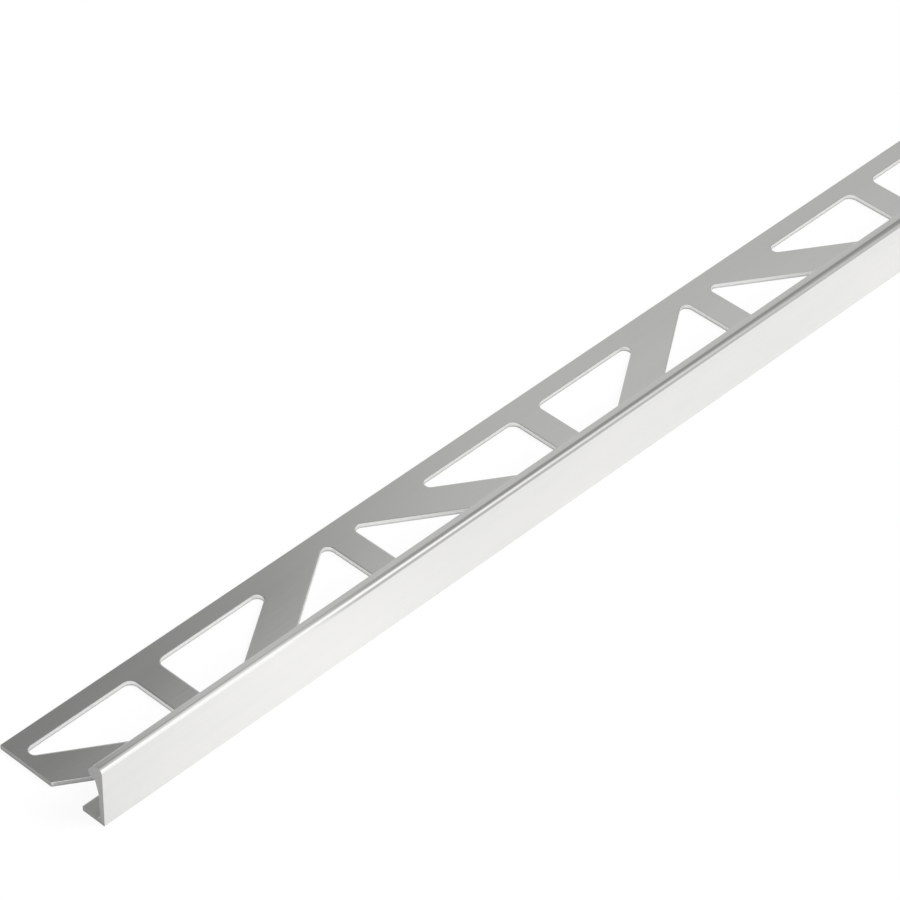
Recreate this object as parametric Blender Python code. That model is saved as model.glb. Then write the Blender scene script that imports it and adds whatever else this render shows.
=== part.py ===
"""Tile edge trim: an extruded aluminium L profile with a punched anchoring leg.

The trim lies on its leg. +X runs along the stock, +Y from the visible face to the
leg's free edge and +Z up. The origin is the middle of the box that the trim fills,
at its underside. All sizes are in metres.
"""

import math

import bmesh
import bpy
from mathutils import Vector

# Stock length, and the overall size of the section
LENGTH = 1.0
LEG_WIDTH = 0.025
HEIGHT = 0.0125

# Wall thicknesses of the two flanges
LEG_THICKNESS = 0.001
FACE_THICKNESS = 0.001

# Head along the top edge: a flat land, a sloping back and a hooked nose.
# Each size is measured from the one before it, from the top down.
LAND_WIDTH = 0.00198
NOSE_OVERHANG = 0.00122
SHOULDER_DROP = 0.00165
NOSE_DEPTH = 0.00125
THROAT_DROP = 0.0002
THROAT_SWELL = 0.0008
TAPER_LENGTH = 0.0029

# Radii of the section's corners
FRONT_EDGE_RADIUS = 0.0008
LAND_EDGE_RADIUS = 0.0004
NOSE_RADIUS = 0.0007
THROAT_RADIUS = 0.0004
TAPER_RADIUS = 0.004
INNER_RADIUS = 0.0005
ARRIS_RADIUS = 0.00015

# Punched holes: right trapezoids between straight struts and slanted braces.
# The front rail is measured from the back of the face wall.
HOLE_LONG_SIDE = 0.0261
HOLE_SHORT_SIDE = 0.00165
STRUT_CORNER_RADIUS = 0.0016
BRACE_CORNER_RADIUS = 0.0012
STRUT_WIDTH = 0.00585
BRACE_WIDTH = 0.0068
BACK_RIM = 0.00375
FRONT_RAIL = 0.0042
FIRST_STRUT = 0.02828
PUNCH_OVERRUN = 0.001

# Worked out from the sizes above
HOLE_FRONT = FACE_THICKNESS + FRONT_RAIL
HOLE_BACK = LEG_WIDTH - BACK_RIM
HOLE_DEPTH = HOLE_BACK - HOLE_FRONT
BRACE_ANGLE = math.atan2(HOLE_DEPTH, HOLE_LONG_SIDE - HOLE_SHORT_SIDE)
BRACE_RUN = BRACE_WIDTH / math.sin(BRACE_ANGLE)
STRUT_SPACING = STRUT_WIDTH + HOLE_LONG_SIDE + BRACE_RUN + HOLE_SHORT_SIDE

# Fineness of the arcs, and the distance at which doubled points are welded
SECTION_ARC_STEP = math.radians(11.25)
HOLE_ARC_STEP = math.radians(18.0)
SHARP_EDGE_ANGLE = math.radians(30.0)
WELD_DISTANCE = 0.000001

# Mill-finish aluminium
TRIM_COLOUR = (0.87, 0.87, 0.86, 1.0)
TRIM_ROUGHNESS = 0.28
TRIM_METALLIC = 1.0


def clear_scene():
    """Remove every object, so that the script runs the same way twice."""
    for scene_object in list(bpy.data.objects):
        bpy.data.objects.remove(scene_object, do_unlink=True)


def new_collection(name):
    """Return a new collection linked to the scene."""
    collection = bpy.data.collections.new(name)
    bpy.context.scene.collection.children.link(collection)
    return collection


def aluminium():
    """Return the trim's material."""
    material = bpy.data.materials.new("mill_aluminium")
    material.use_nodes = True
    shader = material.node_tree.nodes["Principled BSDF"]
    shader.inputs["Base Color"].default_value = TRIM_COLOUR
    shader.inputs["Roughness"].default_value = TRIM_ROUGHNESS
    shader.inputs["Metallic"].default_value = TRIM_METALLIC
    material.diffuse_color = TRIM_COLOUR
    return material


def corner_turns(corners):
    """Return the signed angle by which a closed outline turns at each corner."""
    turns = []
    for index, (point, _) in enumerate(corners):
        arriving = point - corners[index - 1][0]
        leaving = corners[(index + 1) % len(corners)][0] - point
        turns.append(-arriving.angle_signed(leaving))
    return turns


def tangent_lengths(corners, turns):
    """Return how far each corner's arc reaches along its two edges.

    Where two arcs want more than the edge between them, both are cut down in
    proportion, so that a radius is limited by the wall it sits on.
    """
    wanted = [radius * math.tan(abs(turn) / 2) for (_, radius), turn in zip(corners, turns)]
    shares = [1.0] * len(corners)
    for index, (point, _) in enumerate(corners):
        after = (index + 1) % len(corners)
        edge = (corners[after][0] - point).length
        share = min(1.0, edge / (wanted[index] + wanted[after]))
        shares[index] = min(shares[index], share)
        shares[after] = min(shares[after], share)
    return [length * share for length, share in zip(wanted, shares)]


def rounded_outline(corners, arc_step):
    """Return the points of a closed outline whose corners are arcs.

    Each corner is a point and a radius. Its arc leaves the arriving edge one
    tangent length before the corner, and is swung round its centre in equal
    steps of at most arc_step.
    """
    turns = corner_turns(corners)
    reaches = tangent_lengths(corners, turns)
    outline = []
    for index, (point, _) in enumerate(corners):
        arriving = (point - corners[index - 1][0]).normalized()
        turn = turns[index]
        start = point - arriving * reaches[index]
        radius = reaches[index] / math.tan(abs(turn) / 2)
        inward = Vector((-arriving.y, arriving.x)) * math.copysign(1.0, turn)
        centre = start + inward * radius
        steps = max(1, math.ceil(abs(turn) / arc_step))
        for step in range(steps + 1):
            swung = start - centre
            angle = turn * step / steps
            outline.append(centre + Vector((
                swung.x * math.cos(angle) - swung.y * math.sin(angle),
                swung.x * math.sin(angle) + swung.y * math.cos(angle),
            )))
    return outline


def extruded_mesh(name, outline, depth):
    """Return a closed mesh: a flat outline extruded to both sides of its plane."""
    curve = bpy.data.curves.new(name, "CURVE")
    curve.dimensions = "2D"
    curve.fill_mode = "BOTH"
    curve.extrude = depth / 2
    spline = curve.splines.new("POLY")
    spline.points.add(len(outline) - 1)
    for spline_point, corner in zip(spline.points, outline):
        spline_point.co = (corner.x, corner.y, 0.0, 1.0)
    spline.use_cyclic_u = True

    drawn = bpy.data.objects.new(name, curve)
    bpy.context.scene.collection.objects.link(drawn)
    depsgraph = bpy.context.evaluated_depsgraph_get()
    mesh = bpy.data.meshes.new_from_object(drawn.evaluated_get(depsgraph))
    mesh.name = name
    bpy.data.objects.remove(drawn, do_unlink=True)

    welded = bmesh.new()
    welded.from_mesh(mesh)
    bmesh.ops.remove_doubles(welded, verts=welded.verts, dist=WELD_DISTANCE)
    bmesh.ops.recalc_face_normals(welded, faces=welded.faces)
    welded.to_mesh(mesh)
    welded.free()
    return mesh


def section_outline():
    """Return the extrusion's section, across (from the visible face) and up."""
    nose_reach = LAND_WIDTH + NOSE_OVERHANG
    shoulder = HEIGHT - SHOULDER_DROP
    nose_bottom = shoulder - NOSE_DEPTH
    throat = nose_bottom - THROAT_DROP
    corners = [
        (Vector((0.0, 0.0)), ARRIS_RADIUS),
        (Vector((LEG_WIDTH, 0.0)), ARRIS_RADIUS),
        (Vector((LEG_WIDTH, LEG_THICKNESS)), ARRIS_RADIUS),
        (Vector((FACE_THICKNESS, LEG_THICKNESS)), INNER_RADIUS),
        (Vector((FACE_THICKNESS, throat - TAPER_LENGTH)), TAPER_RADIUS),
        (Vector((FACE_THICKNESS + THROAT_SWELL, throat)), THROAT_RADIUS),
        (Vector((nose_reach, nose_bottom)), NOSE_RADIUS),
        (Vector((nose_reach, shoulder)), NOSE_RADIUS),
        (Vector((LAND_WIDTH, HEIGHT)), LAND_EDGE_RADIUS),
        (Vector((0.0, HEIGHT)), FRONT_EDGE_RADIUS),
    ]
    return rounded_outline(corners, SECTION_ARC_STEP)


def extrude_profile(collection):
    """Extrude the section along X, with the underside at z = 0."""
    profile = bpy.data.objects.new(
        "edge_trim_profile", extruded_mesh("edge_trim_profile", section_outline(), LENGTH)
    )
    profile.rotation_euler = (math.pi / 2, 0.0, math.pi / 2)
    profile.location = (0.0, -LEG_WIDTH / 2, 0.0)
    profile.data.materials.append(aluminium())
    collection.objects.link(profile)
    return profile


def hole_outline(hand):
    """Return one hole's outline, with the middle of its strut-side edge at (0, 0).

    The long side is at the back. The hole lies on the side of the strut that hand
    gives: -1 for left and 1 for right.
    """
    corners = [
        (Vector((0.0, -HOLE_DEPTH / 2)), STRUT_CORNER_RADIUS),
        (Vector((0.0, HOLE_DEPTH / 2)), STRUT_CORNER_RADIUS),
        (Vector((hand * HOLE_LONG_SIDE, HOLE_DEPTH / 2)), BRACE_CORNER_RADIUS),
        (Vector((hand * HOLE_SHORT_SIDE, -HOLE_DEPTH / 2)), BRACE_CORNER_RADIUS),
    ]
    return rounded_outline(corners, HOLE_ARC_STEP)


def place_punches(collection):
    """Place a punch on both sides of every strut that the stock has.

    The holes at every other strut have their long side at the back. Those between
    are the same punches turned half round, with their long side at the front.
    """
    height = LEG_THICKNESS + 2 * PUNCH_OVERRUN
    punches = {
        hand: extruded_mesh(f"punch_{name}", hole_outline(hand), height)
        for hand, name in ((-1, "left"), (1, "right"))
    }
    across = (HOLE_FRONT + HOLE_BACK - LEG_WIDTH) / 2
    before_first = math.ceil((FIRST_STRUT + HOLE_LONG_SIDE) / STRUT_SPACING)
    after_first = math.ceil((LENGTH - FIRST_STRUT + HOLE_LONG_SIDE) / STRUT_SPACING)
    for strut in range(-before_first, after_first + 1):
        strut_middle = FIRST_STRUT + strut * STRUT_SPACING - LENGTH / 2
        turned = strut % 2 == 1
        for side in (-1, 1):
            edge = strut_middle + side * STRUT_WIDTH / 2
            if abs(edge + side * HOLE_LONG_SIDE / 2) >= (LENGTH + HOLE_LONG_SIDE) / 2:
                continue
            hand = -side if turned else side
            punch = bpy.data.objects.new("punch", punches[hand])
            punch.location = (edge, across, LEG_THICKNESS / 2)
            punch.rotation_euler.z = math.pi if turned else 0.0
            punch.hide_render = True
            punch.display_type = "WIRE"
            collection.objects.link(punch)


def punch_leg(profile, punches):
    """Cut every hole out of the leg, and shade the arcs smooth."""
    cut = profile.modifiers.new("punched_holes", "BOOLEAN")
    cut.operation = "DIFFERENCE"
    cut.solver = "EXACT"
    cut.operand_type = "COLLECTION"
    cut.collection = punches

    depsgraph = bpy.context.evaluated_depsgraph_get()
    punched = bpy.data.meshes.new_from_object(profile.evaluated_get(depsgraph))
    punched.name = profile.name
    profile.modifiers.remove(cut)
    profile.data = punched
    punched.shade_smooth()
    punched.set_sharp_from_angle(angle=SHARP_EDGE_ANGLE)


def build_trim():
    """Build the whole trim."""
    clear_scene()
    trim = new_collection("tile_edge_trim")
    punches = new_collection("punches")
    profile = extrude_profile(trim)
    place_punches(punches)
    punch_leg(profile, punches)


build_trim()
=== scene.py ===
"""Looks of the tile edge trim: its finely rounded surface, its finishes and its studio.

The trim is one length of extruded aluminium with a punched leg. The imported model
gives its place and overall size. This script carries the section along the stock,
rolls every punched edge, saws the ends and dresses the five kinds of metal skin.
Lengths are in metres, +X along the stock, +Y towards the leg's free edge, +Z up.
"""

import logging
import math
from dataclasses import dataclass, field
from enum import Enum, IntEnum
from typing import Any, Sequence

import bmesh
import bpy
import numpy as np
from mathutils import Matrix, Vector


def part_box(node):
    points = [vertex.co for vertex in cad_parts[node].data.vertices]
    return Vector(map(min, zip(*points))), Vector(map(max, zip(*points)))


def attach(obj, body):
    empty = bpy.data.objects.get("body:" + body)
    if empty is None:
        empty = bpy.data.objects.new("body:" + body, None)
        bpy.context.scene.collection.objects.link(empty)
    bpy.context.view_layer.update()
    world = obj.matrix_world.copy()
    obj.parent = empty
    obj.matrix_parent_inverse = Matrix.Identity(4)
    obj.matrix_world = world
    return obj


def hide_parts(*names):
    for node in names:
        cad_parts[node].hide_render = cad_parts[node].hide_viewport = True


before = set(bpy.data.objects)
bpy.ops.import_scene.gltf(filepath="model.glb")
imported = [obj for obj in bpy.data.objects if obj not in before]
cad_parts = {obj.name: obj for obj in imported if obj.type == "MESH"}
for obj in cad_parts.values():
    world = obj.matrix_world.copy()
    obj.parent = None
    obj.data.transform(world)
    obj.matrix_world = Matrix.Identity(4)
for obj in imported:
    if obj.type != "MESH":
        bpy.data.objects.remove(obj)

LOG = logging.getLogger("edge_trim")
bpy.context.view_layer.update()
PROFILE_NODE = "edge_trim_profile"

Colour = tuple[float, float, float]
Triple = tuple[float, float, float]

WHITE: Colour = (1.0, 1.0, 1.0)
BLACK: Colour = (0.0, 0.0, 0.0)

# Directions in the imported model's frame
ALONG: Triple = (1.0, 0.0, 0.0)
TO_NEAR_END: Triple = (-1.0, 0.0, 0.0)
TO_LEG: Triple = (0.0, 1.0, 0.0)
AHEAD: Triple = (0.0, -1.0, 0.0)
UP: Triple = (0.0, 0.0, 1.0)

# The middle of a noise that runs from 0 to 1
NOISE_MIDDLE = 0.5

# The Mix node's colour sockets, whose names its other sockets have too
MIX_FIRST_COLOUR = 6
MIX_SECOND_COLOUR = 7
MIX_COLOUR_RESULT = 2

# A cell's sides lie at the front seam, the slanted brace, the back seam and the strut
CELL_SIDES = 4
BRACE_SIDE = 1

# A range below every direction's reach along the stock, for a card without a beginning
FROM_THE_START = (-1.2, -1.1)


class Skin(IntEnum):
    """Which of the five finishes a face of the trim has."""

    LEG = 0
    HEAD = 1
    PUNCHED = 2
    SAWN = 3
    INNER = 4


class LongSide(Enum):
    """Where a hole has its long side, numbered by the remainder of its strut's number by 2."""

    BACK = 0
    FRONT = 1


@dataclass(frozen=True)
class Grain:
    """A noise's grains: their lengths along X, Y and Z, their texture and their slant about X."""

    lengths: Triple
    detail: float = 2.0
    rough: float = 0.5
    slant: float = 0.0


class Wire:
    """A shader socket on which arithmetic can be written."""

    def __init__(self, graph: "Graph", socket: bpy.types.NodeSocket) -> None:
        """Keep the graph that the socket belongs to."""
        self.graph = graph
        self.socket = socket

    def _math(self, operation: str, first: Any, second: Any) -> "Wire":
        """Add one Math node and return its result."""
        return self.graph.node("ShaderNodeMath", {"operation": operation}, {0: first, 1: second})

    def __add__(self, other: Any) -> "Wire":
        """Return self + other."""
        return self._math("ADD", self, other)

    __radd__ = __add__

    def __sub__(self, other: Any) -> "Wire":
        """Return self - other."""
        return self._math("SUBTRACT", self, other)

    def __rsub__(self, other: Any) -> "Wire":
        """Return other - self."""
        return self._math("SUBTRACT", other, self)

    def __mul__(self, other: Any) -> "Wire":
        """Return self * other."""
        return self._math("MULTIPLY", self, other)

    __rmul__ = __mul__


class Graph:
    """The node tree of a material or a world, filled through one method."""

    def __init__(self, tree: bpy.types.NodeTree) -> None:
        """Keep the tree."""
        self.tree = tree

    def node(
        self,
        kind: str,
        settings: dict[str, Any] | None = None,
        inputs: dict[str | int, Any] | None = None,
        output: str | int = 0,
    ) -> Wire:
        """Add one node and return one of its outputs.

        Args:
            kind: The node's type name.
            settings: Properties of the node, set before its sockets.
            inputs: Values or wires for the node's sockets, by name or number.
            output: The output to return, by name or number.

        Returns:
            The chosen output as a wire.
        """
        made = self.tree.nodes.new(kind)
        for name, value in (settings or {}).items():
            setattr(made, name, value)
        for key, value in (inputs or {}).items():
            self.plug(made.inputs[key], value)
        return Wire(self, made.outputs[output])

    def plug(self, socket: bpy.types.NodeSocket, value: Any) -> None:
        """Link a wire to a socket, or set a plain value on it.

        Args:
            socket: The input socket.
            value: A wire, a number, or a sequence of numbers.
        """
        if isinstance(value, Wire):
            self.tree.links.new(value.socket, socket)
        else:
            socket.default_value = value

    def place(self) -> Wire:
        """Return the object coordinates."""
        return self.node("ShaderNodeTexCoord", output="Object")

    def dot(self, vector: Wire, axis: Triple) -> Wire:
        """Return how far a vector reaches along an axis."""
        settings = {"operation": "DOT_PRODUCT"}
        return self.node("ShaderNodeVectorMath", settings, {0: vector, 1: axis}, "Value")

    def noise(self, grain: Grain) -> Wire:
        """Return noise from 0 to 1.

        The object coordinates are turned about X by the grain's slant and divided by
        its lengths, so that one step of the noise is one grain.

        Args:
            grain: The noise's grains.

        Returns:
            The noise.
        """
        place = self.place()
        if grain.slant:
            turn = (grain.slant, 0.0, 0.0)
            place = self.node("ShaderNodeMapping", {"vector_type": "POINT"}, {0: place, "Rotation": turn})
        counts = tuple(1.0 / length for length in grain.lengths)
        steps = self.node("ShaderNodeVectorMath", {"operation": "MULTIPLY"}, {0: place, 1: counts})
        inputs = {"Vector": steps, "Scale": 1.0, "Detail": grain.detail, "Roughness": grain.rough}
        return self.node("ShaderNodeTexNoise", {}, inputs)

    def mapped(self, value: Wire, low: float, high: float, to_low: float, to_high: float) -> Wire:
        """Return value moved smoothly from the range low..high to to_low..to_high."""
        inputs = {"Value": value, "From Min": low, "From Max": high, "To Min": to_low, "To Max": to_high}
        return self.node("ShaderNodeMapRange", {"interpolation_type": "SMOOTHSTEP"}, inputs)

    def mixed_colour(self, factor: Wire, first: Colour, second: Colour) -> Wire:
        """Return a colour between two colours."""
        inputs = {"Factor": factor, MIX_FIRST_COLOUR: (*first, 1.0), MIX_SECOND_COLOUR: (*second, 1.0)}
        return self.node("ShaderNodeMix", {"data_type": "RGBA"}, inputs, MIX_COLOUR_RESULT)

    def bump(self, height: Wire, rise: float, below: Wire | None = None) -> Wire:
        """Return a normal bent by a height.

        Args:
            height: The height, from 0 to 1.
            rise: How many metres it rises from 0 to 1.
            below: The normal that is bent, or None for the surface's own.

        Returns:
            The bent normal.
        """
        inputs: dict[str | int, Any] = {"Height": height, "Strength": 1.0, "Distance": rise}
        if below is not None:
            inputs["Normal"] = below
        return self.node("ShaderNodeBump", {}, inputs)


def metal(name: str, preview: Colour) -> tuple[bpy.types.Material, Graph, bpy.types.Node]:
    """Start a metal material.

    Args:
        name: The material's name.
        preview: Its colour in the viewport.

    Returns:
        The material, its graph, and its Principled BSDF node, fully metallic.
    """
    material = bpy.data.materials.new(name)
    material.use_nodes = True
    material.diffuse_color = (*preview, 1.0)
    principled = material.node_tree.nodes["Principled BSDF"]
    principled.inputs["Metallic"].default_value = 1.0
    return material, Graph(material.node_tree), principled


@dataclass(frozen=True)
class ExtrudedFinish:
    """Mill-finish aluminium as it leaves the die, with fine and broad lines along the stock."""

    name: str
    bright: Colour
    dull: Colour
    roughness: float
    roughness_spread: float = 0.04
    fine_line: Grain = Grain((0.035, 0.00016, 0.00016), detail=3.0, rough=0.65)
    broad_line: Grain = Grain((0.30, 0.0011, 0.0011))
    handling_mark: Grain = Grain((0.045, 0.012, 0.012), detail=3.0)
    fine_tone: float = 0.1
    broad_tone: float = 0.3
    mark_tone: float = 0.6
    tone_range: tuple[float, float] = (0.38, 0.62)
    fine_rough: float = 0.4
    mark_rough: float = 0.6
    fine_rise: float = 0.0000009
    broad_rise: float = 0.000003
    swell: float = 0.0
    swell_reach: tuple[float, float] = (-0.0195, 0.0085)

    def material(self) -> bpy.types.Material:
        """Build the material.

        The tone is the weighted sum of the broad lines, the handling marks and the fine
        lines. The roughness is its middle plus the spread times twice the weighted sum
        of fine lines and marks less 0.5. The lines are bumps on top of the swell, which
        falls smoothly from full to none across the leg.

        Returns:
            The material.
        """
        material, graph, principled = metal(self.name, self.bright)
        fine = graph.noise(self.fine_line)
        broad = graph.noise(self.broad_line)
        marks = graph.noise(self.handling_mark)
        tone = broad * self.broad_tone + marks * self.mark_tone + fine * self.fine_tone
        colour = graph.mixed_colour(graph.mapped(tone, *self.tone_range, 0.0, 1.0), self.dull, self.bright)
        rough = fine * self.fine_rough + marks * self.mark_rough - NOISE_MIDDLE
        across = graph.dot(graph.place(), TO_LEG)
        swelled = graph.bump(graph.mapped(across, *self.swell_reach, 1.0, 0.0), self.swell)
        normal = graph.bump(fine, self.fine_rise, graph.bump(broad, self.broad_rise, swelled))
        graph.plug(principled.inputs["Base Color"], colour)
        graph.plug(principled.inputs["Roughness"], rough * (2 * self.roughness_spread) + self.roughness)
        graph.plug(principled.inputs["Normal"], normal)
        return material


LEG_FINISH = ExtrudedFinish("mill_leg", (0.94, 0.94, 0.925), (0.915, 0.915, 0.90), 0.14, swell=0.0007)
HEAD_FINISH = ExtrudedFinish("bright_head", (0.92, 0.915, 0.90), (0.89, 0.89, 0.875), 0.09)
INNER_FINISH = ExtrudedFinish("satin_inner", (0.90, 0.90, 0.885), (0.86, 0.86, 0.845), 0.30)


@dataclass(frozen=True)
class PunchedFinish:
    """The wall of a punched hole: burnished above, torn and grainy below."""

    burnished: Colour = (0.93, 0.93, 0.92)
    torn: Colour = (0.68, 0.68, 0.67)
    burnished_roughness: float = 0.30
    torn_roughness: float = 0.50
    roughness_spread: float = 0.06
    tear_height: float = 0.00034
    tear_spread: float = 0.00016
    tear_blend: float = 0.00008
    tear_wave: Grain = Grain((0.0012, 0.0012, 0.0012))
    drag_line: Grain = Grain((0.00012, 0.00012, 0.002))
    grain: Grain = Grain((0.00012, 0.00012, 0.00008), detail=4.0, rough=0.7)
    torn_share: float = 0.6
    grain_share: float = 0.5
    drag_height: float = 0.5
    rise: float = 0.000006

    def material(self) -> bpy.types.Material:
        """Build the material.

        The wall is torn where its height above the underside plus a wave is less than
        the tear height, and burnished above that. The torn part has grains, and the
        burnished part has the drag lines of the punch.

        Returns:
            The material.
        """
        material, graph, principled = metal("punched_wall", self.burnished)
        wave = (graph.noise(self.tear_wave) - NOISE_MIDDLE) * (2 * self.tear_spread)
        edge = graph.dot(graph.place(), UP) + wave
        tear = graph.mapped(edge, self.tear_height, self.tear_height + self.tear_blend, 1.0, 0.0)
        drag = graph.noise(self.drag_line)
        grain = graph.noise(self.grain)
        torn = tear * (grain * self.grain_share + self.torn_share)
        rough = tear * (self.torn_roughness - self.burnished_roughness) + self.burnished_roughness
        rough = rough + (drag - NOISE_MIDDLE) * (2 * self.roughness_spread)
        height = tear * grain + (1 - tear) * drag * self.drag_height
        graph.plug(principled.inputs["Base Color"], graph.mixed_colour(torn, self.burnished, self.torn))
        graph.plug(principled.inputs["Roughness"], rough)
        graph.plug(principled.inputs["Normal"], graph.bump(height, self.rise))
        return material


@dataclass(frozen=True)
class SawnFinishAndShade:
    """A sawn end: dull grey metal with the saw's slanting strokes, its grey partly painted shade."""

    # Partly the duller sawn metal and partly painted shade: the end faces are coloured darker than bare
    # aluminium
    bright: Colour = (0.54, 0.54, 0.534)
    dull: Colour = (0.45, 0.45, 0.445)
    roughness: float = 0.48
    roughness_spread: float = 0.1
    stroke: Grain = Grain((0.004, 0.004, 0.00013), detail=3.0, slant=math.radians(28.0))
    grain: Grain = Grain((0.00015, 0.00015, 0.00015), detail=3.0, rough=0.6)
    stroke_tone: float = 0.65
    grain_tone: float = 0.35
    tone_range: tuple[float, float] = (0.35, 0.65)
    rise: float = 0.000008

    def material(self) -> bpy.types.Material:
        """Build the material.

        The tone and the bump are the weighted sum of the strokes and the grain. The
        roughness is its middle plus the spread times twice the strokes less 0.5.

        Returns:
            The material.
        """
        material, graph, principled = metal("sawn_end_and_shade", self.bright)
        strokes = graph.noise(self.stroke)
        tone = strokes * self.stroke_tone + graph.noise(self.grain) * self.grain_tone
        colour = graph.mixed_colour(graph.mapped(tone, *self.tone_range, 0.0, 1.0), self.dull, self.bright)
        rough = (strokes - NOISE_MIDDLE) * (2 * self.roughness_spread) + self.roughness
        graph.plug(principled.inputs["Base Color"], colour)
        graph.plug(principled.inputs["Roughness"], rough)
        graph.plug(principled.inputs["Normal"], graph.bump(tone, self.rise))
        return material


Finish = ExtrudedFinish | PunchedFinish | SawnFinishAndShade


@dataclass
class Patch:
    """A piece of surface: its points, its four-sided faces and their finish."""

    points: np.ndarray
    faces: np.ndarray
    skin: np.ndarray


def grid_faces(rows: int, columns: int, ring: bool) -> np.ndarray:
    """Return the faces of a grid of points, row by row.

    Face (r, c) joins point r, c to its neighbours r, c+1 and r+1, c+1 and r+1, c.

    Args:
        rows: The number of rows.
        columns: The number of points in a row.
        ring: Whether each row closes on itself.

    Returns:
        An array of four indices a face.
    """
    row = np.arange(rows - 1)[:, None]
    column = np.arange(columns if ring else columns - 1)[None, :]
    after = (column + 1) % columns
    corners = (
        row * columns + column,
        row * columns + after,
        (row + 1) * columns + after,
        (row + 1) * columns + column,
    )
    return np.stack(np.broadcast_arrays(*corners), axis=-1).reshape(-1, 4)


@dataclass(frozen=True)
class Arc:
    """A rounded corner of an outline, as its centre, radius and swing."""

    centre: np.ndarray
    radius: float
    start: float
    turn: float

    @staticmethod
    def between(before: np.ndarray, corner: np.ndarray, after: np.ndarray, radius: float) -> "Arc":
        """Return the arc that rounds one corner.

        The centre lies on the inner side of both edges, one radius from each. The
        arc starts where the arriving edge touches it and swings by the corner's turn.

        Args:
            before: The outline's point before the corner.
            corner: The sharp corner.
            after: The outline's point after the corner.
            radius: The rounding radius.

        Returns:
            The arc.
        """
        arriving = (corner - before) / np.linalg.norm(corner - before)
        leaving = (after - corner) / np.linalg.norm(after - corner)
        cross = arriving[0] * leaving[1] - arriving[1] * leaving[0]
        turn = math.atan2(cross, float(arriving @ leaving))
        side = math.copysign(1.0, turn)
        inward = side * np.array([-arriving[1], arriving[0]])
        reach = radius * math.tan(abs(turn) / 2)
        centre = corner - arriving * reach + inward * radius
        return Arc(centre, radius, math.atan2(-inward[1], -inward[0]), turn)

    def points(self, steps: int, grow: float = 0.0) -> np.ndarray:
        """Return the arc's points.

        Each point is the centre plus the radius times (cos a, sin a). The angles a are
        evenly spaced from the arc's start, over its turn.

        Args:
            steps: The number of steps from end to end.
            grow: How much longer the radius is.

        Returns:
            The points, in order.
        """
        angles = self.start + self.turn * np.linspace(0.0, 1.0, steps + 1)
        radius = self.radius + grow
        return self.centre + radius * np.stack([np.cos(angles), np.sin(angles)], axis=-1)


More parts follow.
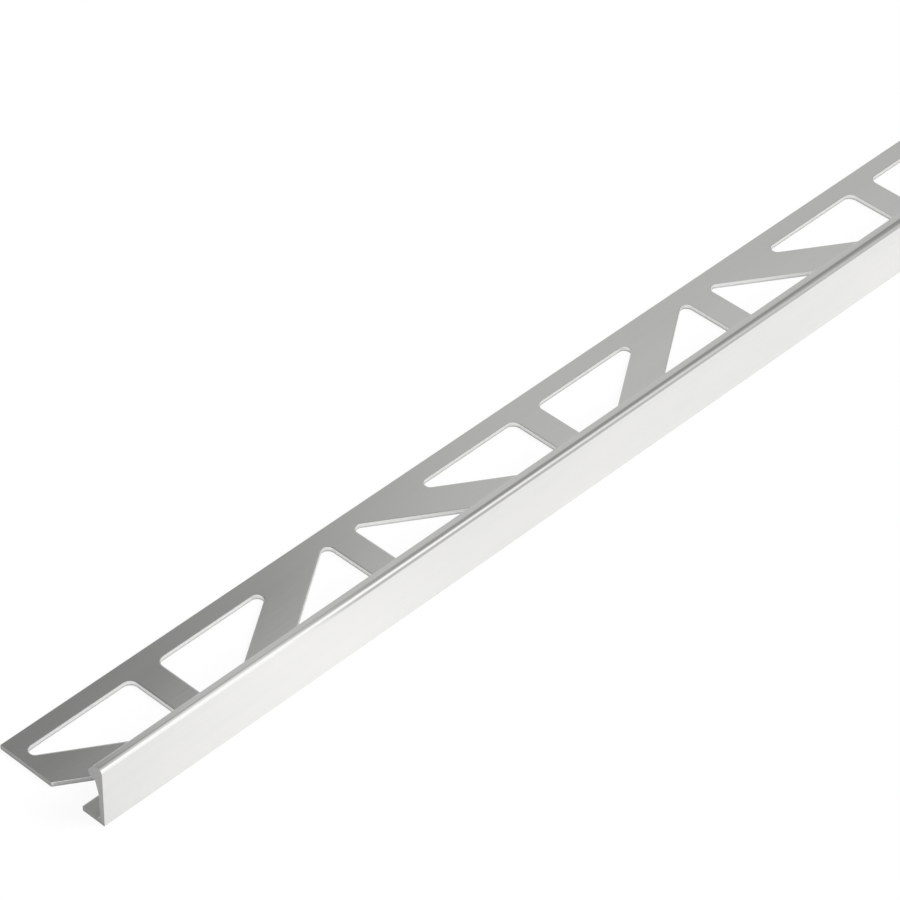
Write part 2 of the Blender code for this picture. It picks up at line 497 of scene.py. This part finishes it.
@dataclass
class Section:
    """The extruded section, as sharp corners with radii.

    Across is measured from the visible face and up from the leg's underside.
    """

    width: float
    height: float

    # Walls, and the head from the top down
    leg: float = 0.001
    wall: float = 0.001
    land: float = 0.00198
    nose_overhang: float = 0.00122
    shoulder_drop: float = 0.00165
    nose_depth: float = 0.00125
    throat_drop: float = 0.0002
    throat_swell: float = 0.0008
    taper: float = 0.0029

    # Corners
    front_radius: float = 0.0008
    land_radius: float = 0.0004
    nose_radius: float = 0.0007
    throat_radius: float = 0.0004
    taper_radius: float = 0.004
    inner_radius: float = 0.0005
    arris_radius: float = 0.00015

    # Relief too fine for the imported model
    land_fall: float = 0.00015
    corner_lift: float = 0.00006
    ease_depth: float = 0.0001
    ease_drop: float = 0.00121
    ease_radius: float = 0.002

    # Mesh
    seam: float = 0.0003
    arc_step: float = math.radians(7.5)
    fewest_steps: int = 2
    support: float = 0.00006
    support_share: float = 0.2

    @property
    def front_seam(self) -> float:
        """Where the leg's flat faces begin, behind the inner fillet."""
        return self.wall + self.inner_radius + self.seam

    @property
    def back_seam(self) -> float:
        """Where the leg's flat faces end, ahead of the free edge."""
        return self.width - self.arris_radius - self.seam

    def head_path(self) -> np.ndarray:
        """Return the path over the wall's back, the head, the face and the underside.

        Each corner of the head is measured from the one above it: the land, the nose,
        the throat and the taper down to the wall.

        Returns:
            The path's points, across and up, from the leg's top to its underside.
        """
        nose = self.land + self.nose_overhang
        shoulder = self.height - self.shoulder_drop
        nose_bottom = shoulder - self.nose_depth
        throat = nose_bottom - self.throat_drop
        corners = [
            (self.wall, self.leg, self.inner_radius),
            (self.wall, throat - self.taper, self.taper_radius),
            (self.wall + self.throat_swell, throat, self.throat_radius),
            (nose, nose_bottom, self.nose_radius),
            (nose, shoulder, self.nose_radius),
            (self.land, self.height + self.corner_lift - self.land_fall, self.land_radius),
            (self.ease_depth, self.height + self.corner_lift, self.front_radius),
            (0.0, self.height - self.ease_drop, self.ease_radius),
            (0.0, 0.0, self.arris_radius),
        ]
        return self._rounded((self.front_seam, self.leg), corners, (self.front_seam, 0.0))

    def edge_path(self) -> np.ndarray:
        """Return the path round the leg's free edge, from the underside to the top."""
        corners = [(self.width, 0.0, self.arris_radius), (self.width, self.leg, self.arris_radius)]
        return self._rounded((self.back_seam, 0.0), corners, (self.back_seam, self.leg))

    def _rounded(
        self,
        start: tuple[float, float],
        corners: Sequence[Triple],
        end: tuple[float, float],
    ) -> np.ndarray:
        """Return an open path whose corners are arcs.

        Args:
            start: The first point.
            corners: Each corner's across, up and radius.
            end: The last point.

        Returns:
            The path's points, across and up.
        """
        sharp = [np.array(start), *(np.array(corner[:2]) for corner in corners), np.array(end)]
        pieces = [sharp[0][None, :]]
        for index, (_, _, radius) in enumerate(corners, start=1):
            before, corner, after = sharp[index - 1 : index + 2]
            arc = Arc.between(before, corner, after, radius)
            rounded = arc.points(max(self.fewest_steps, math.ceil(abs(arc.turn) / self.arc_step)))
            pieces += [
                self._support_point(rounded[0], before - corner),
                rounded,
                self._support_point(rounded[-1], after - corner),
            ]
        pieces.append(sharp[-1][None, :])
        return np.concatenate(pieces)

    def _support_point(self, arc_end: np.ndarray, flat: np.ndarray) -> np.ndarray:
        """Return the point that keeps a flat's shading even beside an arc.

        It is the arc's end plus the flat's direction times the support length, or
        times the support share of the flat where that is shorter.

        Args:
            arc_end: Where the arc meets the flat.
            flat: The flat's run away from the corner.

        Returns:
            The point, as an array of one row.
        """
        length = np.linalg.norm(flat)
        return (arc_end + flat / length * min(self.support, length * self.support_share))[None, :]


@dataclass
class PunchedLeg:
    """The leg's flat plate with its trapezoid holes, built cell by cell.

    A cell is the part of the leg that belongs to one hole. It ends at the middle of
    the strut on one side and at the middle of the slanted brace on the other.
    """

    section: Section

    # Holes, struts and braces
    long_side: float = 0.0261
    short_side: float = 0.00165
    strut_radius: float = 0.0016
    brace_radius: float = 0.0012
    spare_side: float = 0.03
    strut: float = 0.00585
    brace: float = 0.0068
    back_rim: float = 0.00375
    front_rail: float = 0.0042
    first_strut: float = 0.02828

    # Punched edges
    roll_width: float = 0.00006
    roll_depth: float = 0.00005
    tear_flare: float = 0.00003
    tear_height: float = 0.00036
    lower_arris: float = 0.00003

    # Mesh
    plate_ring: float = 0.0003
    support: float = 0.00012
    right_angle_steps: int = 4
    blunt_angle_steps: int = 2
    sharp_angle_steps: int = 6
    flat_steps: int = 3
    roll_steps: int = 5
    seam_slack: float = 1e-9
    station_places: int = 8

    @property
    def hole_front(self) -> float:
        """The holes' front edge, across the section."""
        return self.section.wall + self.front_rail

    @property
    def hole_back(self) -> float:
        """The holes' back edge, across the section."""
        return self.section.width - self.back_rim

    @property
    def slope(self) -> float:
        """How far a slanted edge runs along the stock for each metre across it."""
        return (self.long_side - self.short_side) / (self.hole_back - self.hole_front)

    @property
    def brace_run(self) -> float:
        """The brace's width measured along the stock."""
        return self.brace * math.hypot(1.0, self.slope)

    @property
    def spacing(self) -> float:
        """The distance from strut to strut."""
        return self.strut + self.long_side + self.brace_run + self.short_side

    def struts(self, length: float) -> np.ndarray:
        """Return the numbers of the struts whose cells cover the stock.

        Args:
            length: The stock's length.

        Returns:
            Whole numbers. Number 0 is the strut nearest the near end.
        """
        before = math.ceil(self.first_strut / self.spacing)
        after = math.ceil((length - self.first_strut) / self.spacing)
        return np.arange(-before, after + 1)

    def _levels(self) -> tuple[np.ndarray, np.ndarray, np.ndarray]:
        """Return the rings from the plate's top through the hole to its underside.

        The rolled edge is a quarter ellipse: at angle a its distance out is the roll
        width times 1 - sin a, and its drop is the roll depth times 1 - cos a. The two
        outermost strips at the top and at the underside are flat leg.

        Returns:
            Each ring's distance out from the hole, its height, and the skin below it.
        """
        swing = np.linspace(0.0, math.pi / 2, self.roll_steps + 1)
        roll_out = self.roll_width * (1 - np.sin(swing))
        roll_up = self.section.leg - self.roll_depth * (1 - np.cos(swing))
        wall_top = roll_up[-1]
        torn_out = [self.tear_flare, self.tear_flare, self.tear_flare + self.lower_arris]
        torn_up = [self.tear_height - self.lower_arris, self.lower_arris, 0.0]
        out = [self.plate_ring, *roll_out, 0.0, 0.0, *torn_out, self.plate_ring]
        up = [self.section.leg, *roll_up, wall_top - self.lower_arris, self.tear_height, *torn_up, 0.0]
        skins = np.full(len(out) + 1, Skin.PUNCHED)
        skins[[0, 1, -2, -1]] = Skin.LEG
        return np.array(out), np.array(up), skins

    def _cell(self, long_side: LongSide) -> tuple[np.ndarray, np.ndarray]:
        """Return the rings of a cell to the right of a strut at x = 0.

        The outer loop has a point for each point of the hole's edge, at the same
        share of the way along its side. On the brace the shares are made even about
        the middle, so that the two cells that meet there have the same points.

        Args:
            long_side: Where the hole has its long side.

        Returns:
            Points as rings by loop by (along, across, up), and each ring's skin.
        """
        section = self.section
        start = self.strut / 2
        order = 1 if long_side is LongSide.BACK else -1
        front_run, back_run = (self.short_side, self.long_side)[::order]
        brace_halves = (self.blunt_angle_steps, self.sharp_angle_steps)[::order]
        halves = (self.right_angle_steps, *brace_halves, self.right_angle_steps)
        lean = self.slope * order
        corners = np.array([
            (start, self.hole_front),
            (start + front_run, self.hole_front),
            (start + back_run, self.hole_back),
            (start, self.hole_back),
        ])
        before, after = np.roll(corners, 1, axis=0), np.roll(corners, -1, axis=0)
        radii = self._fitting_radii(corners)
        arcs = [Arc.between(*corner) for corner in zip(before, corners, after, radii)]
        out, up, skins = self._levels()
        loops = [self._loop(arcs, halves, float(grow)) for grow in out]

        middle = start + front_run + self.brace_run / 2
        brace_front = middle + lean * (section.front_seam - self.hole_front)
        brace_back = middle + lean * (section.back_seam - self.hole_front)
        frame_corners = np.array([
            (0.0, section.front_seam),
            (brace_front, section.front_seam),
            (brace_back, section.back_seam),
            (0.0, section.back_seam),
        ])
        edge = self._loop(arcs, halves, 0.0)
        border = self._border(edge, halves, frame_corners)
        rings = np.stack([border, *loops, border])
        heights = np.concatenate([[section.leg], up, [0.0]])
        tall = np.broadcast_to(heights[:, None, None], (*rings.shape[:2], 1))
        return np.concatenate([rings, tall], axis=-1), skins

    def _fitting_radii(self, corners: np.ndarray) -> np.ndarray:
        """Return the four corner radii, cut down where a side is too short for its arcs.

        An arc reaches along its sides by its radius times the tangent of half the
        corner's turn. Where two reaches are longer than the side between them, both
        shrink in proportion.

        Args:
            corners: The hole's sharp corners, in order.

        Returns:
            The radii, in the same order.
        """
        radii = np.array([self.strut_radius, self.brace_radius, self.brace_radius, self.strut_radius])
        sides = np.roll(corners, -1, axis=0) - corners
        lengths = np.linalg.norm(sides, axis=1)
        ahead = sides / lengths[:, None]
        turns = np.arccos(np.sum(ahead * np.roll(ahead, 1, axis=0), axis=1))
        reaches = radii * np.tan(turns / 2)
        wanted = reaches + np.roll(reaches, -1)
        shares = np.minimum(1.0, lengths * (1 - self.spare_side) / wanted)
        return radii * np.minimum(shares, np.roll(shares, 1))

    def _loop(self, arcs: Sequence[Arc], halves: Sequence[int], grow: float) -> np.ndarray:
        """Return the hole's edge grown outwards, starting at the middle of its first arc.

        Between two arcs lie two support points, at a share s and at 1 - s of the flat.
        The share s is the support length over the flat's length, or one flat step
        where that is shorter.

        Args:
            arcs: The four rounded corners.
            halves: Half the number of steps of each arc.
            grow: How far out from the edge the loop lies.

        Returns:
            The loop's points, along and across.
        """
        swung = [arc.points(2 * half, grow) for arc, half in zip(arcs, halves)]
        pieces = []
        for index, arc_points in enumerate(swung):
            flat = swung[(index + 1) % CELL_SIDES][0] - arc_points[-1]
            reach = min(self.support / np.linalg.norm(flat), 1 / self.flat_steps)
            shares = np.array([reach, 1 - reach])[:, None]
            pieces += [arc_points, arc_points[-1] + shares * flat]
        return np.roll(np.concatenate(pieces), -halves[0], axis=0)

    def _border(self, edge: np.ndarray, halves: Sequence[int], corners: np.ndarray) -> np.ndarray:
        """Return the cell's border, with as many points as the hole's edge.

        A border point lies at the share of its side that the hole's edge has travelled
        from the middle of one arc to the middle of the next. On the brace the share s
        becomes (s + 1 - t) / 2, where t is the share of the point's mirror image.

        Args:
            edge: The hole's edge, starting at the middle of its first arc.
            halves: Half the number of steps of each arc.
            corners: The cell's four corners.

        Returns:
            The border's points, along and across.
        """
        lengths = np.linalg.norm(np.roll(edge, -1, axis=0) - edge, axis=1)
        pieces = []
        begin = 0
        for side in range(CELL_SIDES):
            after = (side + 1) % CELL_SIDES
            count = halves[side] + self.flat_steps + halves[after]
            travelled = np.concatenate([[0.0], np.cumsum(lengths[begin : begin + count])])
            shares = travelled / travelled[-1]
            if side == BRACE_SIDE:
                shares = (shares + 1 - shares[::-1]) / 2
            pieces.append(corners[side] + shares[:-1, None] * (corners[after] - corners[side]))
            begin += count
        return np.concatenate(pieces)

    def patches(self, length: float) -> tuple[list[Patch], np.ndarray, np.ndarray]:
        """Build every cell of the stock.

        The cell at the other side of each strut is the mirror image: along becomes
        minus along, and its faces turn round.

        Args:
            length: The stock's length.

        Returns:
            The cells' patches, and where the cells' borders have points along the
            front seam and along the back seam.
        """
        patches, front, back = [], [], []
        numbers = self.struts(length)
        for long_side in LongSide:
            chosen = numbers[numbers % len(LongSide) == long_side.value]
            middles = self.first_strut + chosen * self.spacing
            cell, skins = self._cell(long_side)
            rings, around = cell.shape[:2]
            for side in (1.0, -1.0):
                shape = cell * np.array([side, 1.0, 1.0])
                points = np.repeat(shape[None], len(middles), axis=0)
                points[..., 0] += middles[:, None, None]
                faces = grid_faces(rings, around, ring=True)
                if side < 0:
                    faces = faces[:, ::-1]
                starts = np.arange(len(middles))[:, None, None] * (rings * around)
                skin = np.tile(np.repeat(skins, around), len(middles))
                patches.append(Patch(points.reshape(-1, 3), (faces + starts).reshape(-1, 4), skin))
                border = points[:, 0].reshape(-1, 3)
                front.append(border[border[:, 1] < self.section.front_seam + self.seam_slack, 0])
                back.append(border[border[:, 1] > self.section.back_seam - self.seam_slack, 0])
        return patches, self._stations(front), self._stations(back)

    def _stations(self, found: Sequence[np.ndarray]) -> np.ndarray:
        """Return the places along a seam in order, each once."""
        return np.unique(np.round(np.concatenate(found), self.station_places))


@dataclass
class EdgeTrim:
    """The whole trim: the head and free edge carried along the stock, and the leg."""

    low: Vector
    high: Vector
    leg_finish: ExtrudedFinish = LEG_FINISH
    head_finish: ExtrudedFinish = HEAD_FINISH
    inner_finish: ExtrudedFinish = INNER_FINISH
    punched: PunchedFinish = field(default_factory=PunchedFinish)
    sawn: SawnFinishAndShade = field(default_factory=SawnFinishAndShade)
    weld: float = 0.000002
    cut_slack: float = 1e-7
    sharp_angle: float = math.radians(32.0)

    @property
    def finishes(self) -> dict[Skin, Finish]:
        """The finish of each skin."""
        return {
            Skin.LEG: self.leg_finish,
            Skin.HEAD: self.head_finish,
            Skin.PUNCHED: self.punched,
            Skin.SAWN: self.sawn,
            Skin.INNER: self.inner_finish,
        }

    def build(self) -> bpy.types.Object:
        """Build the trim's surface and dress it.

        Returns:
            The finished object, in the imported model's place.
        """
        length = self.high.x - self.low.x
        section = Section(self.high.y - self.low.y, self.high.z - self.low.z)
        leg = PunchedLeg(section)
        patches, front, back = leg.patches(length)
        head = section.head_path()
        edge = section.edge_path()
        patches.append(self._carried(head, front, self._head_skins(section, head)))
        patches.append(self._carried(edge, back, np.full(len(edge) - 1, Skin.LEG)))
        mesh = self._welded(patches, length)
        trim = bpy.data.objects.new("edge_trim", mesh)
        bpy.context.scene.collection.objects.link(trim)
        for skin in Skin:
            mesh.materials.append(self.finishes[skin].material())
        return trim

    @staticmethod
    def _head_skins(section: Section, head: np.ndarray) -> np.ndarray:
        """Return the finish of each step of the head's path, by where its middle lies.

        Above the inner fillet a step is the head's. There, behind the wall's middle and
        below the shoulder, it is the inner finish. All else is the leg's.

        Args:
            section: The section.
            head: The path's points, across and up.

        Returns:
            One skin a step.
        """
        across, up = ((head[1:] + head[:-1]) / 2).T
        is_wall = up > section.leg + section.inner_radius
        is_hidden = (across > section.wall / 2) & (up < section.height - section.shoulder_drop)
        skins = np.where(is_wall, Skin.HEAD, Skin.LEG)
        return np.where(is_wall & is_hidden, Skin.INNER, skins)

    @staticmethod
    def _carried(path: np.ndarray, stations: np.ndarray, skins: np.ndarray) -> Patch:
        """Carry a path of the section along the stock.

        The point at row r and column c is path point c moved to station r.

        Args:
            path: The path's points, across and up, with the metal on its left.
            stations: The places along the stock.
            skins: The finish of each step of the path.

        Returns:
            The patch.
        """
        points = np.empty((len(stations), len(path), 3))
        points[..., 0] = stations[:, None]
        points[..., 1:] = path[None]
        faces = grid_faces(len(stations), len(path), ring=False)
        return Patch(points.reshape(-1, 3), faces, np.tile(skins, len(stations) - 1))

    def _welded(self, patches: Sequence[Patch], length: float) -> bpy.types.Mesh:
        """Join the patches, saw both ends off square and close them.

        Args:
            patches: All pieces of the surface, longer than the stock.
            length: The stock's length.

        Returns:
            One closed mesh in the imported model's place.
        """
        starts = np.cumsum([0, *(len(patch.points) for patch in patches[:-1])])
        points = np.concatenate([patch.points for patch in patches])
        faces = np.concatenate([patch.faces + start for patch, start in zip(patches, starts)])
        skins = np.concatenate([patch.skin for patch in patches])
        mesh = bpy.data.meshes.new("edge_trim")
        mesh.from_pydata((points + np.array(self.low)).tolist(), [], faces.tolist())
        mesh.polygons.foreach_set("material_index", skins.astype(np.int32))

        shaped = bmesh.new()
        shaped.from_mesh(mesh)
        bmesh.ops.remove_doubles(shaped, verts=shaped.verts, dist=self.weld)
        self._saw(shaped, self.low.x, TO_NEAR_END)
        self._saw(shaped, self.low.x + length, ALONG)
        shaped.to_mesh(mesh)
        shaped.free()
        mesh.shade_smooth()
        mesh.set_sharp_from_angle(angle=self.sharp_angle)
        return mesh

    def _saw(self, shaped: bmesh.types.BMesh, place: float, outwards: Triple) -> None:
        """Cut the surface at one end and close the cut with sawn faces.

        Args:
            shaped: The surface.
            place: Where the cut is, along X.
            outwards: The direction of the cut-off side.
        """
        cut = bmesh.ops.bisect_plane(
            shaped,
            geom=[*shaped.verts, *shaped.edges, *shaped.faces],
            dist=self.cut_slack,
            plane_co=(place, 0.0, 0.0),
            plane_no=outwards,
            clear_outer=True,
        )
        edges = [part for part in cut["geom_cut"] if isinstance(part, bmesh.types.BMEdge)]
        filled = bmesh.ops.triangle_fill(
            shaped, use_beauty=True, use_dissolve=False, edges=edges, normal=outwards
        )
        for face in (part for part in filled["geom"] if isinstance(part, bmesh.types.BMFace)):
            face.material_index = Skin.SAWN
            face.normal_update()
            if face.normal.dot(Vector(outwards)) < 0:
                face.normal_flip()


@dataclass(frozen=True)
class Ramp:
    """A smooth rise from none to full, between two reaches along an axis of the floor."""

    axis: Triple
    start: float
    end: float


@dataclass(frozen=True)
class PaintedFloorShade:
    """A stretch of painted shade on the floor, seen only in the metal, where all ramps meet."""

    share: float
    ramps: tuple[Ramp, ...]


@dataclass(frozen=True)
class Card:
    """A dark card in the sky, between two planes through the stock.

    The card lies on the side of each plane to which its edge's axis points. Along the
    stock it fades in over the range begin and out over the range end.
    """

    edges: tuple[Triple, ...]
    begin: tuple[float, float]
    end: tuple[float, float]
    share: float
    softness: float = 0.03


@dataclass
class Studio:
    """A pale floor with painted shade that only the metal sees, a soft sky that the metal mirrors, and one
    broad lamp.
    """

    # Floor
    floor_size: float = 12.0
    floor_gap: float = 0.00002
    floor_colour: Colour = (0.92, 0.92, 0.92)
    seen_glow: float = 0.9
    mirrored_glow: float = 0.3
    # Painted shade: stretches of the floor painted darker where the metal mirrors them, while the camera
    # sees them pale
    painted_floor_shades: tuple[PaintedFloorShade, ...] = (
        PaintedFloorShade(0.12, (Ramp(TO_NEAR_END, 0.445, 0.52),)),
        PaintedFloorShade(0.07, (Ramp(ALONG, -0.45, -0.40),)),
        PaintedFloorShade(0.14, (Ramp(TO_LEG, -0.04, -0.022),)),
        PaintedFloorShade(0.50, (Ramp(TO_LEG, 0.014, 0.03),)),
        PaintedFloorShade(0.54, (Ramp(ALONG, -0.385, -0.225), Ramp(AHEAD, 0.03, 0.06))),
        # Painted shadow in the notch at the near end, which the cut brace's wall mirrors
        PaintedFloorShade(0.42, (
            Ramp((-0.549, -0.836, 0.0), 0.2739, 0.2745),
            Ramp(ALONG, -0.5003, -0.4999),
            Ramp(TO_LEG, -0.0095, -0.0075),
        )),
        PaintedFloorShade(0.43, (
            Ramp(ALONG, -0.446, -0.428),
            Ramp(AHEAD, 0.0208, 0.025),
            Ramp(TO_LEG, -0.055, -0.036),
        )),
    )

    # Room that the metal mirrors
    near_slant: float = 0.05
    near_side: tuple[float, float] = (0.536, 0.563)
    panel_reach: tuple[float, float] = (-0.72, 0.95)
    panel_levels: tuple[float, float] = (0.52, 1.13)
    flag_reach: tuple[float, float] = (-0.68, -0.12)
    flag_levels: tuple[float, float] = (0.545, 0.29)
    glow_side: tuple[float, float] = (0.50, 0.67)
    glow_height: tuple[float, float] = (0.10, 0.79)
    glow_reach: tuple[float, float] = (-0.10, 0.20)
    glow_level: float = 0.96
    cards: tuple[Card, ...] = (
        Card(((0.0, -0.743, 0.669), (0.0, 0.848, -0.530)), FROM_THE_START, (0.469, 0.563), 0.65),
        Card(((0.0, -0.883, 0.469), (0.0, 0.819, 0.574)), (0.37, 0.41), (0.447, 0.475), 0.50),
        Card(((0.0, -0.574, 0.819), (0.0, 0.760, -0.649)), (0.37, 0.41), (0.447, 0.475), 0.50),
    )

    # Lamp
    lamp_place: Triple = (0.78, -1.32, 1.68)
    lamp_aim: Triple = (-0.3, 0.0, 0.0)
    lamp_size: float = 1.5
    lamp_power: float = 52.5

    def build(self) -> None:
        """Build the floor, the sky and the lamp."""
        self._floor()
        self._sky()
        self._lamp()

    def _floor(self) -> None:
        """Lay the floor: pale, and nearly white to the camera.

        To the metal it glows a little, and painted shade darkens it in some stretches.
        """
        bpy.ops.mesh.primitive_plane_add(size=self.floor_size, location=(0.0, 0.0, -self.floor_gap))
        floor = bpy.context.object
        floor.name = "floor"
        material = bpy.data.materials.new("pale_floor_and_painted_shade")
        material.use_nodes = True
        graph = Graph(material.node_tree)
        material.node_tree.nodes.remove(material.node_tree.nodes["Principled BSDF"])
        paint = graph.node("ShaderNodeBsdfDiffuse", {}, {"Color": (*self.floor_colour, 1.0)})
        glow = graph.node("ShaderNodeEmission", {}, {"Color": (*WHITE, 1.0), "Strength": 1.0})
        seen = graph.node("ShaderNodeLightPath", output="Is Camera Ray")
        mirrored = graph.node("ShaderNodeLightPath", output="Is Glossy Ray")
        share = seen * self.seen_glow + mirrored * self.mirrored_glow
        surface = graph.node("ShaderNodeMixShader", {}, {0: share, 1: paint, 2: glow})
        black = graph.node("ShaderNodeEmission", {}, {"Color": (*BLACK, 1.0), "Strength": 0.0})
        # Painted shade: the floor is darkened for glossy rays only
        painted_shade_share = mirrored * (1 - self._kept(graph))
        surface = graph.node("ShaderNodeMixShader", {}, {0: painted_shade_share, 1: surface, 2: black})
        graph.plug(material.node_tree.nodes["Material Output"].inputs["Surface"], surface)
        floor.data.materials.append(material)

    def _kept(self, graph: Graph) -> Wire | float:
        """Return the share of the floor's brightness that the metal mirrors.

        Each stretch of painted shade leaves 1 minus its share times all its ramps, and the parts left by
        all stretches are multiplied.

        Args:
            graph: The floor's graph.

        Returns:
            The share, from 0 to 1.
        """
        place = graph.place()
        kept: Wire | float = 1.0
        for zone in self.painted_floor_shades:
            dark: Wire | float = zone.share
            for ramp in zone.ramps:
                dark = graph.mapped(graph.dot(place, ramp.axis), ramp.start, ramp.end, 0.0, 1.0) * dark
            kept = (1 - dark) * kept
        return kept

    def _sky(self) -> None:
        """Hang the sky: white to the camera, and a dimmer room to the metal."""
        world = bpy.data.worlds.new("studio")
        bpy.context.scene.world = world
        world.use_nodes = True
        graph = Graph(world.node_tree)
        seen = graph.node("ShaderNodeLightPath", output="Is Camera Ray")
        level = self._room(graph) * (1 - seen) + seen
        background = world.node_tree.nodes["Background"]
        graph.plug(background.inputs["Color"], level)
        background.inputs["Strength"].default_value = 1.0

    def _room(self, graph: Graph) -> Wire:
        """Return the brightness of the room that the metal mirrors.

        In the directions that the near end mirrors it is a panel, brighter ahead. In
        the others it is a flag, darker ahead, plus a low glow ahead. Each card then
        leaves 1 minus its share where both its planes and its range along the stock meet.

        Args:
            graph: The world's graph.

        Returns:
            The brightness in each direction.
        """
        direction = graph.node("ShaderNodeTexCoord", output="Generated")
        aside = graph.dot(direction, ALONG)
        ahead = graph.dot(direction, AHEAD)
        height = graph.dot(direction, UP)
        near = graph.mapped(aside + height * self.near_slant, *self.near_side, 1.0, 0.0)
        panel = graph.mapped(ahead, *self.panel_reach, *self.panel_levels)
        flag = graph.mapped(ahead, *self.flag_reach, *self.flag_levels)
        glow = graph.mapped(aside, *self.glow_side, self.glow_level, 0.0)
        glow = glow * graph.mapped(height, *self.glow_height, 1.0, 0.0)
        glow = glow * graph.mapped(ahead, *self.glow_reach, 0.0, 1.0)
        shade = panel * near + (flag + glow) * (1 - near)
        for card in self.cards:
            dark = graph.mapped(aside, *card.begin, 0.0, 1.0)
            dark = dark * graph.mapped(aside, *card.end, card.share, 0.0)
            for axis in card.edges:
                beyond = graph.dot(direction, axis)
                dark = dark * graph.mapped(beyond, -card.softness, card.softness, 0.0, 1.0)
            shade = shade * (1 - dark)
        return shade

    def _lamp(self) -> None:
        """Hang the broad lamp, which lights the floor and isn't mirrored in the metal."""
        light = bpy.data.lights.new("key", "AREA")
        light.shape = "SQUARE"
        light.size = self.lamp_size
        light.energy = self.lamp_power
        lamp = bpy.data.objects.new("key", light)
        lamp.location = self.lamp_place
        aim = Vector(self.lamp_aim) - lamp.location
        lamp.rotation_euler = aim.to_track_quat("-Z", "Y").to_euler()
        lamp.visible_glossy = False
        lamp.visible_camera = False
        bpy.context.scene.collection.objects.link(lamp)


@dataclass
class Viewpoint:
    """The photograph's camera."""

    place: Triple = (-0.82321, -0.39368, 0.51490)
    aim: Triple = (-0.3953963, 0.0118665, 0.0)
    roll: float = math.radians(0.8176)
    lens: float = 178.485
    sensor: float = 36.0
    nearest: float = 0.01

    def build(self) -> None:
        """Make the camera and look through it."""
        data = bpy.data.cameras.new("camera")
        data.lens = self.lens
        data.sensor_width = self.sensor
        data.clip_start = self.nearest
        camera = bpy.data.objects.new("camera", data)
        ahead = (Vector(self.aim) - Vector(self.place)).to_track_quat("-Z", "Y").to_matrix()
        turned = ahead @ Matrix.Rotation(self.roll, 3, "Z")
        camera.matrix_world = Matrix.Translation(self.place) @ turned.to_4x4()
        bpy.context.scene.collection.objects.link(camera)
        bpy.context.scene.camera = camera


def main() -> None:
    """Build the viewpoint, the studio and the trim, and log the trim's face count."""
    logging.basicConfig(level=logging.INFO, format="%(message)s")
    bpy.context.scene.view_settings.view_transform = "Standard"
    Viewpoint().build()
    Studio().build()
    low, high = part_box(PROFILE_NODE)
    trim = EdgeTrim(low, high).build()
    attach(trim, "root")
    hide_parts(PROFILE_NODE)
    LOG.info("edge_trim: %d faces", len(trim.data.polygons))


if __name__ == "__main__":
    main()
